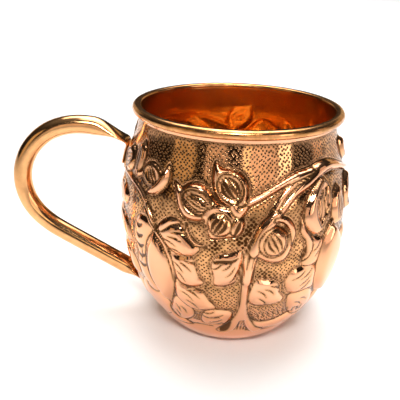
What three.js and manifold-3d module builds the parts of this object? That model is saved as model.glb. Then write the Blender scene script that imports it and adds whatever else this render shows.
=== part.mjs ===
// A barrel-shaped copper mug: a sheet body whose lip is rolled round a stiffening wire, and a
// tube handle whose flattened ends are brazed to the wall.
// Millimetres, +Z up. The origin is the centre of the base's resting face, the handle points
// towards -X, and the handle's middle plane is Y = 0.
import * as THREE from "three";
import { mergeVertices } from "three/addons/utils/BufferGeometryUtils.js";
import Module from "manifold-3d";

const wasm = await Module();
wasm.setup();

// ---- Body ----
const HEIGHT = 94; // resting face to the top of the rim
const SHEET = 0.9; // thickness of the copper sheet
const BASE_RADIUS = 24.6; // where the flank would meet the resting plane
const BASE_ROUND = 1.5; // how far the base's edge is rounded off, along the base and the flank
const FLANK_LEAN = THREE.MathUtils.degToRad(42.7); // of the flank at the base, above the horizontal
const BELLY_RADIUS = 46.6; // widest place of the barrel
const BELLY_HEIGHT = 55.7; // height of the widest place
const NECK_RADIUS = 40; // outside of the neck, just below the rim
const NECK_LEAN = THREE.MathUtils.degToRad(3.6); // of the wall at the neck, from the vertical
const FLANK_FULLNESS = 16.6; // handle lengths of the two curves that draw the wall
const BELLY_FULLNESS_BELOW = 29.2;
const BELLY_FULLNESS_ABOVE = 14.3;
const NECK_FULLNESS = 7.1;

// ---- Rolled rim ----
const RIM_DIAMETER = 84; // over the roll
const ROLL_THICKNESS = 3.6; // of the roll's own round section
const ROLL_SHEET = SHEET; // the sheet keeps its thickness in the roll
const ROLL_END = THREE.MathUtils.degToRad(-92); // where the roll's edge stops, from straight outwards
const NECK_BELOW_ROLL = 2.4; // from the roll's middle line down to where the neck curve starts
const WIRE_CLEARANCE = 0.2; // round the wire inside the roll

// ---- Handle ----
const TUBE_DIAMETER = 7.7;
const TUBE_WALL = 0.7;
const HANDLE_REACH = 89.5; // mug axis to the tube's middle line at its farthest
const CROWN_DROP = 11.7; // rim top down to the tube's middle line at the crown
const LEG_TURN_HEIGHT = 42.9; // where the back of the loop would meet the lower leg
const UPPER_JOINT_DROP = 17.6; // rim top down to where the tube meets the wall
const UPPER_RUN_SLOPE = THREE.MathUtils.degToRad(38); // of the tube as it reaches the upper joint
const LOWER_JOINT_HEIGHT = 16;
const SHOULDER_BEND = 27; // bend radii of the tube's middle line, from the upper joint down
const LOOP_BEND = 26;
const LEG_BEND = 21;
const TONGUE_BEND = 2.2; // where the flattened ends turn to lie on the wall
const UPPER_TONGUE_LENGTH = 10; // of each flattened end, along the wall
const LOWER_TONGUE_LENGTH = 12;
const TONGUE_WIDTH = 11;
const TONGUE_THICKNESS = 1.4;
const TIP_WIDTH = 0.3; // of the tongue's width, at the very tip of its rounding
const UPPER_FLATTENING = 15; // length over which the tube goes from round to flat
const LOWER_FLATTENING = 8;
const VENT_DIAMETER = 1.6; // lets hot air out of the tube while it is brazed
const VENT_FROM_LOWER_JOINT = 15;

// ---- Brazed joints ----
const BRAZE_FILM = 0.3; // between a tongue and the wall
const BRAZE_MARGIN = 0.9; // by which the braze stands out round a tongue
const JOINT_CLEARANCE = 0.15; // each side of the braze

// ---- Fineness of the faceted surfaces ----
const BODY_SIDES = 60;
const WALL_STEPS = 8; // for each of the wall's two curves
const ROLL_STEP = THREE.MathUtils.degToRad(32);
const WIRE_SIDES = 6;
const TUBE_SIDES = 16;
const TUBE_STATIONS = 64;
const BORE_STATIONS = 36;
const VENT_SIDES = 8;
const BRAZE_SIDES = 16;

const COPPER = { color: 0xd98a5b, roughness: 0.22, metalness: 1 };
const BRAZE = { color: 0xc08a45, roughness: 0.4, metalness: 1 };
const STEEL = { color: 0x8d8f91, roughness: 0.45, metalness: 1 };

const rollRadius = ROLL_THICKNESS / 2;
const rollMiddle = new THREE.Vector2(RIM_DIAMETER / 2 - rollRadius, HEIGHT - rollRadius);
const neckTop = new THREE.Vector2(NECK_RADIUS, rollMiddle.y - NECK_BELOW_ROLL);
const jointOffset = 2 * JOINT_CLEARANCE + BRAZE_FILM + TONGUE_THICKNESS / 2;

// The outside of the wall as two curves, (radius, height), from the base up to the neck.
const flankDirection = new THREE.Vector2(Math.cos(FLANK_LEAN), Math.sin(FLANK_LEAN));
const lowerWall = new THREE.CubicBezierCurve(
  new THREE.Vector2(BASE_RADIUS, 0),
  new THREE.Vector2(BASE_RADIUS, 0).addScaledVector(flankDirection, FLANK_FULLNESS),
  new THREE.Vector2(BELLY_RADIUS, BELLY_HEIGHT - BELLY_FULLNESS_BELOW),
  new THREE.Vector2(BELLY_RADIUS, BELLY_HEIGHT),
);
const upperWall = new THREE.CubicBezierCurve(
  new THREE.Vector2(BELLY_RADIUS, BELLY_HEIGHT),
  new THREE.Vector2(BELLY_RADIUS, BELLY_HEIGHT + BELLY_FULLNESS_ABOVE),
  new THREE.Vector2(
    neckTop.x + NECK_FULLNESS * Math.sin(NECK_LEAN),
    neckTop.y - NECK_FULLNESS * Math.cos(NECK_LEAN),
  ),
  neckTop,
);

// The place on the outside of the wall at a height, and the wall's outward normal there.
function wallAt(height) {
  const curve = height < BELLY_HEIGHT ? lowerWall : upperWall;
  let low = 0;
  let high = 1;
  for (let i = 0; i < 40; i += 1) {
    const middle = (low + high) / 2;
    if (curve.getPoint(middle).y < height) low = middle;
    else high = middle;
  }
  const tangent = curve.getTangent((low + high) / 2);
  return { point: curve.getPoint((low + high) / 2), normal: new THREE.Vector2(tangent.y, -tangent.x) };
}

// Moves an outline towards its left-hand side as it is walked.
function offsetOutline(points, distance) {
  return points.map((point, i) => {
    const before = points[Math.max(i - 1, 0)];
    const after = points[Math.min(i + 1, points.length - 1)];
    const along = after.clone().sub(before).normalize();
    return point.clone().add(new THREE.Vector2(-along.y, along.x).multiplyScalar(distance));
  });
}

// An arc about the roll's middle, from one angle to another.
function rollArc(radius, from, to) {
  const steps = Math.ceil(Math.abs(to - from) / ROLL_STEP);
  return Array.from({ length: steps + 1 }, (_, i) => {
    const angle = from + ((to - from) * i) / steps;
    return new THREE.Vector2(Math.cos(angle), Math.sin(angle)).multiplyScalar(radius).add(rollMiddle);
  });
}

// The body's section: up the outside, round the roll and down the inside, from axis to axis.
function bodyProfile() {
  const lower = lowerWall.getPoints(WALL_STEPS);
  const upper = upperWall.getPoints(WALL_STEPS).slice(1);
  const roundStart = new THREE.Vector2(BASE_RADIUS - BASE_ROUND, 0);
  const roundEnd = new THREE.Vector2(BASE_RADIUS, 0).addScaledVector(flankDirection, BASE_ROUND);
  const corner = new THREE.QuadraticBezierCurve(roundStart, new THREE.Vector2(BASE_RADIUS, 0), roundEnd);
  const outside = [
    ...corner.getPoints(3),
    ...lower.slice(1).filter((point) => point.y > roundEnd.y + SHEET),
    ...upper,
  ];
  const inside = offsetOutline(outside, SHEET).filter((point) => point.y > SHEET);
  const innerFoot = new THREE.Vector2(roundStart.x - SHEET / 2, SHEET);
  const throat = rollRadius - ROLL_SHEET;
  return [
    new THREE.Vector2(0, 0),
    ...outside,
    ...rollArc(throat, Math.PI, ROLL_END),
    ...rollArc(rollRadius, ROLL_END, Math.PI),
    ...inside.reverse(),
    innerFoot,
    new THREE.Vector2(0, SHEET),
  ];
}

function solidFrom(geometry) {
  const plain = geometry.clone();
  plain.deleteAttribute("normal");
  plain.deleteAttribute("uv");
  const merged = mergeVertices(plain, 1e-4);
  return new wasm.Manifold(
    new wasm.Mesh({
      numProp: 3,
      vertProperties: merged.attributes.position.array,
      triVerts: new Uint32Array(merged.index.array),
    }),
  );
}

function geometryFrom(solid) {
  const mesh = solid.getMesh();
  const geometry = new THREE.BufferGeometry();
  geometry.setAttribute("position", new THREE.BufferAttribute(mesh.vertProperties, 3));
  geometry.setIndex(new THREE.BufferAttribute(mesh.triVerts, 1));
  geometry.computeVertexNormals();
  return geometry;
}

function namedMesh(name, geometry, look) {
  const mesh = new THREE.Mesh(geometry, new THREE.MeshStandardMaterial(look));
  mesh.name = name;
  return mesh;
}

function bodyShell() {
  const geometry = new THREE.LatheGeometry(bodyProfile(), BODY_SIDES);
  geometry.rotateX(Math.PI / 2); // the lathe turns about Y, and the mug stands on Z
  return namedMesh("body_shell", geometry, COPPER);
}

function rimWire() {
  const radius = rollRadius - ROLL_SHEET - WIRE_CLEARANCE;
  const geometry = new THREE.TorusGeometry(rollMiddle.x, radius, WIRE_SIDES, BODY_SIDES);
  const mesh = namedMesh("rim_wire", geometry, STEEL);
  mesh.position.z = rollMiddle.y;
  return mesh;
}

// Where a line leaves a point and reaches a height or a distance from the axis.
const meetHeight = (from, slope, height) =>
  new THREE.Vector2(from.x + (height - from.y) / Math.tan(slope), height);

// Points on the tongue's middle line, which keeps its distance from the wall, between two heights.
function alongWall(fromHeight, toHeight, steps) {
  return Array.from({ length: steps + 1 }, (_, i) => {
    const { point, normal } = wallAt(fromHeight + ((toHeight - fromHeight) * i) / steps);
    return point.clone().addScaledVector(normal, jointOffset);
  });
}

// The height at which the wall is a given way further down, measured along the wall.
function heightBelow(height, length) {
  let { point } = wallAt(height);
  let travelled = 0;
  const step = length / 50;
  while (travelled < length) {
    const next = wallAt(point.y - step).point;
    travelled += next.distanceTo(point);
    point = next;
  }
  return point.y;
}

// The handle's middle line as corners with bend radii, (distance from the axis, height), from
// the tip of the upper tongue to the tip of the lower one.
function handleCorners() {
  const upperHeight = HEIGHT - UPPER_JOINT_DROP;
  const crownHeight = HEIGHT - CROWN_DROP;
  const upper = alongWall(heightBelow(upperHeight, UPPER_TONGUE_LENGTH), upperHeight, 4);
  const lowerTip = heightBelow(LOWER_JOINT_HEIGHT, LOWER_TONGUE_LENGTH);
  const lower = alongWall(LOWER_JOINT_HEIGHT, lowerTip, 4);
  const upperJoint = upper.pop();
  const lowerJoint = lower.shift();
  return [
    ...upper.map((point) => ({ point, bend: 0 })),
    { point: upperJoint, bend: TONGUE_BEND },
    { point: meetHeight(upperJoint, UPPER_RUN_SLOPE, crownHeight), bend: SHOULDER_BEND },
    { point: new THREE.Vector2(HANDLE_REACH, crownHeight), bend: LOOP_BEND },
    { point: new THREE.Vector2(HANDLE_REACH, LEG_TURN_HEIGHT), bend: LEG_BEND },
    { point: lowerJoint, bend: TONGUE_BEND },
    ...lower.map((point) => ({ point, bend: 0 })),
  ];
}

// How far a corner turns the path, and how much straight its bend would like on each side.
function turnAt(corners, i) {
  const { point, bend } = corners[i];
  if (i === 0 || i === corners.length - 1 || bend === 0) return { turn: 0, wanted: 0 };
  const back = corners[i - 1].point.clone().sub(point);
  const on = corners[i + 1].point.clone().sub(point);
  const turn = Math.PI - back.angleTo(on);
  return { turn, wanted: bend * Math.tan(turn / 2) };
}

// A path through the corners with each one rounded. Two bends that are together longer than
// the straight between them share it in proportion.
function roundedPath(corners) {
  const turns = corners.map((_, i) => turnAt(corners, i));
  const points = [corners[0].point];
  for (let i = 1; i < corners.length - 1; i += 1) {
    const { point } = corners[i];
    const { turn, wanted } = turns[i];
    if (wanted === 0) {
      points.push(point);
      continue;
    }
    const back = corners[i - 1].point.clone().sub(point);
    const on = corners[i + 1].point.clone().sub(point);
    const roomBack = back.length() / (turns[i - 1].wanted + wanted);
    const roomOn = on.length() / (turns[i + 1].wanted + wanted);
    const reach = wanted * Math.min(1, roomBack, roomOn);
    const start = point.clone().addScaledVector(back.normalize(), reach);
    const end = point.clone().addScaledVector(on.normalize(), reach);
    points.push(...arcBetween(start, point, end, turn));
  }
  points.push(corners[corners.length - 1].point);
  return points;
}

// A circular arc that leaves start towards the corner and arrives at end from the corner.
function arcBetween(start, corner, end, turn) {
  const toCentre = start.clone().add(end).multiplyScalar(0.5).sub(corner).normalize();
  const tangentLength = start.distanceTo(corner);
  const radius = tangentLength / Math.tan(turn / 2);
  const centre = corner.clone().addScaledVector(toCentre, Math.hypot(radius, tangentLength));
  const from = start.clone().sub(centre);
  const side = Math.sign(from.cross(end.clone().sub(centre)));
  const steps = Math.max(3, Math.ceil(turn / THREE.MathUtils.degToRad(9)));
  return Array.from({ length: steps + 1 }, (_, i) =>
    from.clone().rotateAround(new THREE.Vector2(), (side * turn * i) / steps).add(centre),
  );
}

// Places along the path by arc length, with its direction.
function pathSampler(points) {
  const lengths = [0];
  for (let i = 1; i < points.length; i += 1) {
    lengths.push(lengths[i - 1] + points[i].distanceTo(points[i - 1]));
  }
  const total = lengths[lengths.length - 1];
  const at = (s) => {
    let i = 1;
    while (i < points.length - 1 && lengths[i] < s) i += 1;
    const share = (s - lengths[i - 1]) / (lengths[i] - lengths[i - 1]);
    return points[i - 1].clone().lerp(points[i], share);
  };
  const direction = (s, reach = 0.6) =>
    at(Math.min(s + reach, total)).sub(at(Math.max(s - reach, 0))).normalize();
  return { total, at, direction };
}

const handlePath = pathSampler(roundedPath(handleCorners()));
const smooth = (x) => THREE.MathUtils.smoothstep(x, 0, 1);

// How round the tube is at a place: 0 in the flattened tongues and 1 along the round tube.
function roundness(s) {
  const fromUpper = (s - UPPER_TONGUE_LENGTH - TONGUE_BEND / 2) / UPPER_FLATTENING;
  const fromLower = (handlePath.total - s - LOWER_TONGUE_LENGTH - TONGUE_BEND / 2) / LOWER_FLATTENING;
  return smooth(Math.min(fromUpper, fromLower));
}

// How much of a tongue's width is left at a place, from its rounded tip to its full width.
function tipShare(s) {
  const fromTip = Math.min(s, handlePath.total - s) / (TONGUE_WIDTH / 2);
  if (fromTip >= 1) return 1;
  return Math.max(TIP_WIDTH, Math.sqrt(1 - (1 - fromTip) ** 2));
}

// The tube's surface, or its bore when inset is the wall's thickness: a unit cylinder whose
// stations are laid along the path and whose rings swell from flat to round.
function sweptTube(inset, from, to, stations) {
  const geometry = new THREE.CylinderGeometry(1, 1, 1, TUBE_SIDES, stations);
  const position = geometry.attributes.position;
  for (let i = 0; i < position.count; i += 1) {
    const s = from + (to - from) * (0.5 - position.getY(i));
    const round = roundness(s);
    const half = THREE.MathUtils.lerp(TONGUE_THICKNESS, TUBE_DIAMETER, round) / 2 - inset;
    const width = THREE.MathUtils.lerp(TONGUE_WIDTH, TUBE_DIAMETER, round) * tipShare(s);
    const halfWidth = width / 2 - inset;
    const centre = handlePath.at(s);
    const along = handlePath.direction(s);
    const across = -position.getX(i) * halfWidth;
    const out = position.getZ(i) * half;
    const dish = (1 - round) * (centre.x - Math.sqrt(centre.x ** 2 - across ** 2));
    position.setXYZ(i, -(centre.x - along.y * out - dish), across, centre.y + along.x * out);
  }
  return geometry;
}

// The tube is hollow as far as its flattening leaves room, with one small vent into the bore.
function handleTube() {
  const boreFrom = UPPER_TONGUE_LENGTH + TONGUE_BEND + UPPER_FLATTENING / 2;
  const boreTo = handlePath.total - LOWER_TONGUE_LENGTH - TONGUE_BEND - LOWER_FLATTENING / 2;
  const ventPlace = handlePath.total - LOWER_TONGUE_LENGTH - VENT_FROM_LOWER_JOINT;
  const vent = new THREE.CylinderGeometry(VENT_DIAMETER / 2, VENT_DIAMETER / 2, TUBE_DIAMETER, VENT_SIDES);
  const centre = handlePath.at(ventPlace);
  const along = handlePath.direction(ventPlace);
  vent.translate(0, -TUBE_DIAMETER / 2, 0);
  vent.rotateX(Math.PI / 2); // now along -Z from the middle line, and turned square to the tube
  vent.rotateY(Math.atan2(along.y, along.x) + Math.PI);
  vent.translate(-centre.x, 0, centre.y);
  const solid = solidFrom(sweptTube(0, 0, handlePath.total, TUBE_STATIONS))
    .subtract(solidFrom(sweptTube(TUBE_WALL, boreFrom, boreTo, BORE_STATIONS)))
    .subtract(solidFrom(vent));
  return namedMesh("handle_tube", geometryFrom(solid), COPPER);
}

// A pad of braze between a tongue and the wall, thickest in the middle, that follows the wall.
function brazePad(name, upperHeight, tongueLength) {
  const lowerHeight = heightBelow(upperHeight, tongueLength);
  const lengthScale = 1 + (2 * BRAZE_MARGIN) / tongueLength;
  const middle = (upperHeight + lowerHeight) / 2;
  const halfRise = ((upperHeight - lowerHeight) / 2) * lengthScale;
  const halfWidth = TONGUE_WIDTH / 2 + BRAZE_MARGIN;
  const geometry = new THREE.SphereGeometry(1, BRAZE_SIDES, BRAZE_SIDES / 2);
  const position = geometry.attributes.position;
  for (let i = 0; i < position.count; i += 1) {
    const [up, across, out] = [position.getX(i), position.getZ(i), position.getY(i)];
    const { point, normal } = wallAt(middle + up * halfRise);
    const lift = JOINT_CLEARANCE + ((out + 1) / 2) * BRAZE_FILM;
    const radius = point.x + normal.x * lift;
    const angle = (across * halfWidth) / radius;
    position.setXYZ(i, -radius * Math.cos(angle), -radius * Math.sin(angle), point.y + normal.y * lift);
  }
  return namedMesh(name, geometry, BRAZE);
}

const mug = new THREE.Group();
mug.add(
  bodyShell(),
  rimWire(),
  handleTube(),
  brazePad("upper_braze", HEIGHT - UPPER_JOINT_DROP, UPPER_TONGUE_LENGTH),
  brazePad("lower_braze", LOWER_JOINT_HEIGHT, LOWER_TONGUE_LENGTH),
);

export default mug;
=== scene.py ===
"""A barrel-shaped copper mug with a chased plant on a punched ground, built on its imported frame."""

import math

import bmesh
import bpy
import numpy as np
from mathutils import Matrix, Vector


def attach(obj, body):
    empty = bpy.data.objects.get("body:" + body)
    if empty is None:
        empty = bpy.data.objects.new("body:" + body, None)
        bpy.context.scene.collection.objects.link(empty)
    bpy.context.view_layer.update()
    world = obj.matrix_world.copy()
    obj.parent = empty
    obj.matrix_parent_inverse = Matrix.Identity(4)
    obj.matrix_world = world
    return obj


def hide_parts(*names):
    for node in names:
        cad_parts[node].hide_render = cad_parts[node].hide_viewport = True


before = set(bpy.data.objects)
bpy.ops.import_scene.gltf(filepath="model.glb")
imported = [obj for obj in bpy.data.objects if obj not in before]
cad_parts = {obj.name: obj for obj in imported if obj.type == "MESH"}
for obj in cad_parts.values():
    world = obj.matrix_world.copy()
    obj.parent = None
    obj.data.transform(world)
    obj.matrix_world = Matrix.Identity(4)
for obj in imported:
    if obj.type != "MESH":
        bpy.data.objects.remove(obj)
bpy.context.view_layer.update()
MM = 0.001

# ---- The wall's outline: distance from the axis and height, in millimetres ----
BELLY_RADIUS = 46.6
BELLY_HEIGHT = 55.7
SHEET = 0.9
BASE_EDGE = (24.6, 0.0)
NECK = (40.0, 89.8)
FLANK_LEAN = math.radians(42.7)
NECK_LEAN = math.radians(3.6)
# how far the curves' handles reach from the base, below and above the belly, and below the neck
BASE_PULL, BELLY_PULL_DOWN, BELLY_PULL_UP, NECK_PULL = 16.6, 29.2, 14.3, 7.1


def cubic(start, first, second, end, share):
    """Points on a cubic curve, one for each share of the way along it."""
    t = np.asarray(share, float)[:, None]
    a, b, c, d = (np.array(p, float) for p in (start, first, second, end))
    return (1 - t) ** 3 * a + 3 * (1 - t) ** 2 * t * b + 3 * (1 - t) * t**2 * c + t**3 * d


def wall_outline():
    """The outside of the wall from the foot to the neck, closely spaced."""
    share = np.linspace(0, 1, 400)
    lower = cubic(
        BASE_EDGE,
        (BASE_EDGE[0] + BASE_PULL * math.cos(FLANK_LEAN), BASE_PULL * math.sin(FLANK_LEAN)),
        (BELLY_RADIUS, BELLY_HEIGHT - BELLY_PULL_DOWN),
        (BELLY_RADIUS, BELLY_HEIGHT),
        share,
    )
    upper = cubic(
        (BELLY_RADIUS, BELLY_HEIGHT),
        (BELLY_RADIUS, BELLY_HEIGHT + BELLY_PULL_UP),
        (NECK[0] + NECK_PULL * math.sin(NECK_LEAN), NECK[1] - NECK_PULL * math.cos(NECK_LEAN)),
        NECK,
        share[1:],
    )
    return np.vstack((lower, upper))


OUTLINE = wall_outline()
TRAVEL = np.concatenate(([0], np.cumsum(np.hypot(*np.diff(OUTLINE, axis=0).T))))


def travel_at(height):
    """Millimetres along the wall from its foot up to a height."""
    return np.interp(height, OUTLINE[:, 1], TRAVEL)


def wall_at(travel):
    """Radius, height and outward normal (out, up) at millimetres along the wall."""
    radius = np.interp(travel, TRAVEL, OUTLINE[:, 0])
    height = np.interp(travel, TRAVEL, OUTLINE[:, 1])
    ahead = np.minimum(travel + 0.5, TRAVEL[-1])
    behind = np.maximum(travel - 0.5, 0)
    along = np.stack(
        (
            np.interp(ahead, TRAVEL, OUTLINE[:, 0]) - np.interp(behind, TRAVEL, OUTLINE[:, 0]),
            np.interp(ahead, TRAVEL, OUTLINE[:, 1]) - np.interp(behind, TRAVEL, OUTLINE[:, 1]),
        ),
        -1,
    )
    along /= np.linalg.norm(along, axis=-1, keepdims=True)
    return radius, height, np.stack((along[..., 1], -along[..., 0]), -1)


# ---- The chased relief ----
# Every place on the wall is (degrees round from the front, millimetres up from the table).
# The pattern runs twice round the mug.
HALF_TURN_COLUMNS = 230
RELIEF_ROWS = 156
RELIEF_FROM, RELIEF_TO = 2.2, TRAVEL[-1] - 0.4
PUNCHED_FROM, PUNCHED_TO = 13.0, 89.4
MM_PER_DEGREE = 0.78  # round the wall, about, where most of the plant stands
FAR = 9.0  # mm, further from a line or an edge than makes any difference
NARROWEST_DEGREE = 0.45  # mm, at the foot
VEIN_GAP = 2.2  # mm, between a leaf's veins
STROKE_BOW = 0.35  # share by which a bud's strokes draw together at their ends
LINE_DEPTH = 0.38  # of the chased lines, mm


def ease(x):
    """0 below 0, 1 above 1 and a smooth rise between."""
    x = np.clip(x, 0, 1)
    return x * x * (3 - 2 * x)


def curve_through(points, closed, steps=6):
    """A smooth line through the points, as many short straight pieces."""
    p = np.array(points, float)
    n = len(p)
    if closed:
        before, after, further = np.roll(p, 1, 0), np.roll(p, -1, 0), np.roll(p, -2, 0)
    else:
        before = np.vstack((2 * p[:1] - p[1:2], p[:-1]))[: n - 1]
        after = p[1:]
        further = np.vstack((p[2:], 2 * p[-1:] - p[-2:-1]))
        p = p[:-1]
    t = (np.arange(steps) / steps)[None, :, None]
    a, b, c, d = (q[:, None, :] for q in (before, p, after, further))
    bend, twist = 2 * a - 5 * b + 4 * c - d, 3 * b - a - 3 * c + d
    line = (2 * b + (c - a) * t + bend * t**2 + twist * t**3) / 2
    line = line.reshape(-1, p.shape[1])
    return line if closed else np.vstack((line, after[-1]))


class Relief:
    """Heights over the ground, and how far each place is from the nearest chased line."""

    def __init__(self):
        turn = np.arange(HALF_TURN_COLUMNS) * (180 / HALF_TURN_COLUMNS) - 90
        travel = np.linspace(RELIEF_FROM, RELIEF_TO, RELIEF_ROWS)
        radius, height, _ = wall_at(travel)
        self.turn, self.travel = (g.ravel() for g in np.meshgrid(turn, travel))
        self.mm_per_degree = np.repeat(radius, HALF_TURN_COLUMNS) * math.pi / 180
        self.up = np.repeat(height, HALF_TURN_COLUMNS)
        self.height = np.zeros(self.turn.shape)
        self.chase = np.full(self.turn.shape, FAR)
        self.ground = np.full(self.turn.shape, FAR)

    def near(self, line, reach):
        """For each half turn that the line falls in: the places near it, and the line there."""
        travel = travel_at(line[:, 1])
        for shift in (-180, 0, 180):
            turn = line[:, 0] + shift
            wide = reach / NARROWEST_DEGREE
            hit = (self.turn > turn.min() - wide) & (self.turn < turn.max() + wide)
            hit &= (self.travel > travel.min() - reach) & (self.travel < travel.max() + reach)
            here = np.flatnonzero(hit)
            if len(here):
                yield here, turn, travel

    def distance(self, here, turn, travel, widths=None, closed=False):
        """Millimetres from places to a line, less the line's half width there."""
        scale = self.mm_per_degree[here][:, None]
        x = (turn[None, :] - self.turn[here][:, None]) * scale
        y = travel[None, :] - self.travel[here][:, None]
        half = np.zeros(len(turn)) if widths is None else widths / 2
        if closed:
            x, y = np.hstack((x, x[:, :1])), np.hstack((y, y[:, :1]))
            half = np.append(half, half[0])
        dx, dy = np.diff(x), np.diff(y)
        share = np.clip(-(x[:, :-1] * dx + y[:, :-1] * dy) / (dx**2 + dy**2 + 1e-9), 0, 1)
        gap = np.hypot(x[:, :-1] + share * dx, y[:, :-1] + share * dy)
        return (gap - (half[:-1] + share * np.diff(half))).min(1)

    def inside(self, here, turn, travel):
        """Which places lie inside a closed line."""
        x0, y0 = turn[None, :], travel[None, :]
        x1, y1 = np.roll(x0, -1), np.roll(y0, -1)
        px, py = self.turn[here][:, None], self.travel[here][:, None]
        crosses = (y0 > py) != (y1 > py)
        at = x0 + (py - y0) * (x1 - x0) / np.where(y1 == y0, 1e-9, y1 - y0)
        return (np.sum(crosses & (px < at), 1) % 2) == 1

    def lay(self, here, depth, lift, shoulder, crown, line):
        """Raises the places whose depth inside a shape is above 0, and chases its edge."""
        within = depth > 0
        spot, inner = here[within], depth[within]
        rise = ease(inner / shoulder)
        top = lift + crown * ease(inner / 5)
        self.height[spot] = self.height[spot] * (1 - rise) + top * rise
        self.chase[spot] = inner - line
        outer = here[~within]
        self.chase[outer] = np.minimum(self.chase[outer], -depth[~within] - line)
        self.ground[here] = np.minimum(self.ground[here], -depth)

    def shape(self, outline, lift, shoulder=1.8, crown=0.25, line=0.26):
        """A raised shape inside a closed outline, with a chased line round it."""
        edge = curve_through(outline, True)
        for here, turn, travel in self.near(edge, 5):
            gap = self.distance(here, turn, travel, closed=True)
            depth = np.where(self.inside(here, turn, travel), gap, -gap)
            self.lay(here, depth, lift, shoulder, crown, line)

    def oval(self, centre, half_wide, half_high, lift, tilt=0, **kind):
        """An oval half_wide degrees and half_high millimetres from its centre to its edge."""
        c, s = math.cos(math.radians(tilt)), math.sin(math.radians(tilt))
        points = []
        for k in range(12):
            a, b = math.cos(k * math.pi / 6), math.sin(k * math.pi / 6)
            out, up = half_wide * MM_PER_DEGREE * a, half_high * b
            turn = centre[0] + (c * out - s * up) / MM_PER_DEGREE
            points.append((turn, centre[1] + s * out + c * up))
        self.shape(points, lift, **kind)

    def stem(self, points, lift, shoulder=1.2, line=0.26):
        """A raised stroke through points that each give a width as their third value."""
        path = curve_through(points, False)
        for here, turn, travel in self.near(path[:, :2], 6):
            gap = self.distance(here, turn, travel, widths=path[:, 2])
            self.lay(here, -gap, lift, shoulder, 0, line)

    def cut(self, points, width=0.7):
        """A chased stroke, widest in its middle and pointed at its ends."""
        path = curve_through(points, False)
        taper = np.sin(np.linspace(0.12, 0.92, len(path)) * math.pi)
        for here, turn, travel in self.near(path, 3):
            gap = self.distance(here, turn, travel, widths=width * taper)
            self.chase[here] = np.minimum(self.chase[here], gap)

    def veins(self, base, tip, count=4, length=0.34):
        """Short strokes side by side, along the way from a leaf's base to its tip."""
        (x0, y0), (x1, y1) = base, tip
        long = math.hypot((x1 - x0) * MM_PER_DEGREE, y1 - y0)
        ux, uy = (x1 - x0) * MM_PER_DEGREE / long, (y1 - y0) / long
        for k in range(count):
            side = (k - (count - 1) / 2) * VEIN_GAP
            begin = long * (0.3 + 0.12 * math.cos(2.4 * k))
            points = []
            for share in (0, 0.5, 1):
                along = begin + share * length * long
                off = side * (1 + 0.25 * share) + 0.5 * math.sin(share * math.pi)
                turn = x0 + (ux * along - uy * off) / MM_PER_DEGREE
                points.append((turn, y0 + uy * along + ux * off))
            self.cut(points, 0.5)

    def leaf(self, outline, base, tip, lift=0.75, count=4, **strokes):
        """A softly crowned leaf with its veins."""
        self.shape(outline, lift, shoulder=2.0, crown=0.45, line=0.22)
        self.veins(base, tip, count, **strokes)

    def strokes(self, centre, across, along, angle, count, width=0.6):
        """Long strokes side by side over an oval, curving round it as on a melon. Sizes in mm."""
        c, s = math.cos(math.radians(angle)), math.sin(math.radians(angle))
        for k in range(count):
            side = (k + 1) / (count + 1) * 2 - 1
            reach = math.sqrt(1 - side * side) * 0.84 * along
            points = []
            for share in (-1, 0, 1):
                off = side * across * (1 - STROKE_BOW * share * share)
                turn = centre[0] + (c * share * reach - s * off) / MM_PER_DEGREE
                points.append((turn, centre[1] + s * share * reach + c * off))
            self.cut(points, width)

    def bud(self, outline, heart, across, along, angle, count, lift=1.6, sunk=0.6, width=0.6):
        """A bud whose rim stands round a ribbed heart. The heart's sizes are in millimetres."""
        self.shape(outline, lift, shoulder=1.9, crown=0.3, line=0.3)
        wide = along / MM_PER_DEGREE
        self.oval(heart, wide, across, lift - sunk, tilt=angle, shoulder=0.8, crown=0.7, line=0.3)
        self.strokes(heart, across, along, angle, count, width)

    def carve_lines(self):
        """Sinks the chased lines into the surface, once every shape is laid."""
        self.height -= LINE_DEPTH * ease((0.45 - self.chase) / 0.85)


def limb_and_twig(r):
    """The limb, its second strand and the twig that carries three buds."""
    limb = [(8.5, 38, 4.6), (9, 44, 4.6), (10.4, 50, 4.8), (12.8, 56, 5.0), (17, 61.4, 5.2),
        (22.5, 66.4, 4.4), (29, 71.6, 4.6), (37, 75.2, 6.4), (45, 77.8, 6.2), (55, 78.4, 4.8),
        (65, 76.6, 3.8), (80, 73, 3.2), (95, 70.2, 3.0), (107, 68.6, 3.0), (120, 68, 2.8),
        (130, 65.6, 2.6), (137, 60.5, 2.4), (142, 54.2, 2.0)]
    r.shape([(17, 62.5), (20, 67), (26, 72.6), (33, 76.4), (36, 76), (29, 72), (23, 67),
        (19, 62.6)], 0.5, line=0.1)
    r.stem(limb, 1.7, shoulder=2.0)
    r.stem([(15, 60, 2.6), (18.4, 65.4, 2.4), (23, 70.6, 2.4), (29, 75, 3.0), (36, 77.4, 3.2)],
        1.5, shoulder=1.4)
    r.stem([(40, 78.6, 2.6), (31, 77.4, 3.2), (21, 74.4, 3.0), (12, 71, 3.2), (4, 67.6, 3.6),
        (2, 63, 2.2)], 1.6, shoulder=1.6)


def foot_leaves(r):
    """Smooth leaves that fill the foot of the wall."""
    r.shape([(-36, 21), (-31, 12), (-24, 9.6), (-34, 8), (-46, 9), (-57, 14), (-60, 23), (-52, 27),
        (-42, 26)], 0.6, crown=0.3)
    r.shape([(11, 22), (14, 18), (20, 15), (30, 14.6), (40, 17), (50, 20.5), (58, 20), (60, 14),
        (48, 9.6), (36, 8.4), (24, 8.6), (14, 11.5), (10.5, 17)], 0.7, crown=0.3)
    r.shape([(60, 20), (68, 24), (78, 20), (84, 14), (76, 9.5), (64, 9.5)], 0.6, crown=0.3)
    r.shape([(-98, 19), (-88, 20), (-80, 16), (-70, 13.6), (-60, 12), (-72, 8.8), (-88, 8.8),
        (-98, 12)], 0.6)


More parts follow.
